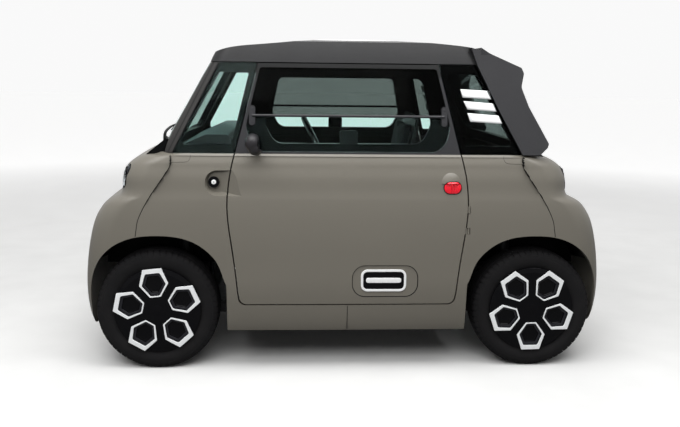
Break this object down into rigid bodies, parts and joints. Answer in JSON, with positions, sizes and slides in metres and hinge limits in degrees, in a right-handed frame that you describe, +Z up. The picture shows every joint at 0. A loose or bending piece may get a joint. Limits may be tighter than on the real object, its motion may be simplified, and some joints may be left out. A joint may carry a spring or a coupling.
{
  "type": "microcar",
  "caption": "Small two-seat electric city car with upright glasshouse, matte body panels, opposed side doors and covered wheels.",
  "frame": {"origin": "on the floor below the middle of the car's box", "axes": "+X to the front, +Y to the left, +Z up"},
  "size_m": [2.412, 1.5856, 1.5199],
  "materials": {
    "body_paint": "matte khaki grey",
    "grey_trim": "matte dark grey",
    "black_trim": "moulded black",
    "glass": "green tinted",
    "lamp_lens": "clear lens",
    "red_lens": "red lens",
    "frame_steel": "black coated steel",
    "cast_metal": "cast",
    "seat_fabric": "woven, dark",
    "tyre": "rubber",
    "wheel_black": "black with pale rings"
  },
  "bodies": {
    "body": {"front_panel": "body_paint", "rear_panel": "body_paint", "side_panels_left": "body_paint", "side_panels_right": "body_paint", "upper_frame": "black_trim", "windscreen": "glass", "rear_window": "glass", "quarter_glass": "glass", "pillar_trims": "grey_trim", "roof_panel": "grey_trim", "roof_glass": "glass", "rear_wings": "grey_trim", "cowl": "black_trim", "headlamps": "lamp_lens", "tail_lamps": "red_lens", "door_locks": "black_trim", "wheel_liners": "black_trim", "chassis_frame": "frame_steel", "floor_pan": "frame_steel", "motor": "cast_metal", "battery": "cast_metal", "front_suspension": "frame_steel", "rear_suspension": "frame_steel", "dash": "black_trim", "steering_column": "black_trim", "seat_left": "black_trim", "seat_right": "black_trim", "seat_cushions": "seat_fabric"},
    "steering_wheel_turn": {"steering_wheel": "black_trim"},
    "knuckle_left_body": {"knuckle_left": "cast_metal"},
    "knuckle_right_body": {"knuckle_right": "cast_metal"},
    "door_left_body": {"door_left": "body_paint", "door_glass_left": "glass", "mirror_left": "grey_trim"},
    "door_right_body": {"door_right": "body_paint", "door_glass_right": "glass", "mirror_right": "grey_trim"},
    "front_left_wheel": {"tyre_front_left": "tyre", "wheel_front_left": "wheel_black"},
    "front_right_wheel": {"tyre_front_right": "tyre", "wheel_front_right": "wheel_black"},
    "rear_left_wheel": {"tyre_rear_left": "tyre", "wheel_rear_left": "wheel_black"},
    "rear_right_wheel": {"tyre_rear_right": "tyre", "wheel_rear_right": "wheel_black"}
  },
  "joints": [
    {"name": "steer_left", "type": "hinge", "parent": "body", "child": "knuckle_left_body", "pos_m": [0.864, 0.525, 0.2785], "axis": [0, 0, 1], "range_deg": [-30, 30]},
    {"name": "steer_right", "type": "hinge", "parent": "body", "child": "knuckle_right_body", "pos_m": [0.864, -0.525, 0.2785], "axis": [0, 0, 1], "range_deg": [-30, 30]},
    {"name": "steering_wheel_spin", "type": "hinge", "parent": "body", "child": "steering_wheel_turn", "pos_m": [0.118, 0.28, 0.979], "axis": [-0.8942, 0, 0.4478], "range_deg": [-450, 450]},
    {"name": "door_left_hinge", "type": "hinge", "parent": "body", "child": "door_left_body", "pos_m": [-0.546, 0.684, 0.7035], "axis": [0, 0, 1], "range_deg": [0, 75]},
    {"name": "door_right_hinge", "type": "hinge", "parent": "body", "child": "door_right_body", "pos_m": [0.546, -0.684, 0.7035], "axis": [0, 0, 1], "range_deg": [0, 75]},
    {"name": "roll_front_left", "type": "hinge", "parent": "knuckle_left_body", "child": "front_left_wheel", "pos_m": [0.864, 0.57, 0.2785], "axis": [0, 1, 0], "continuous": true},
    {"name": "roll_front_right", "type": "hinge", "parent": "knuckle_right_body", "child": "front_right_wheel", "pos_m": [0.864, -0.57, 0.2785], "axis": [0, 1, 0], "continuous": true},
    {"name": "roll_rear_left", "type": "hinge", "parent": "body", "child": "rear_left_wheel", "pos_m": [-0.864, 0.57, 0.2785], "axis": [0, 1, 0], "continuous": true},
    {"name": "roll_rear_right", "type": "hinge", "parent": "body", "child": "rear_right_wheel", "pos_m": [-0.864, -0.57, 0.2785], "axis": [0, 1, 0], "continuous": true}
  ],
  "couplings": [
    {"joint": "steer_right", "follows": "steer_left", "ratio": 1},
    {"joint": "steering_wheel_spin", "follows": "steer_left", "ratio": 15}
  ]
}
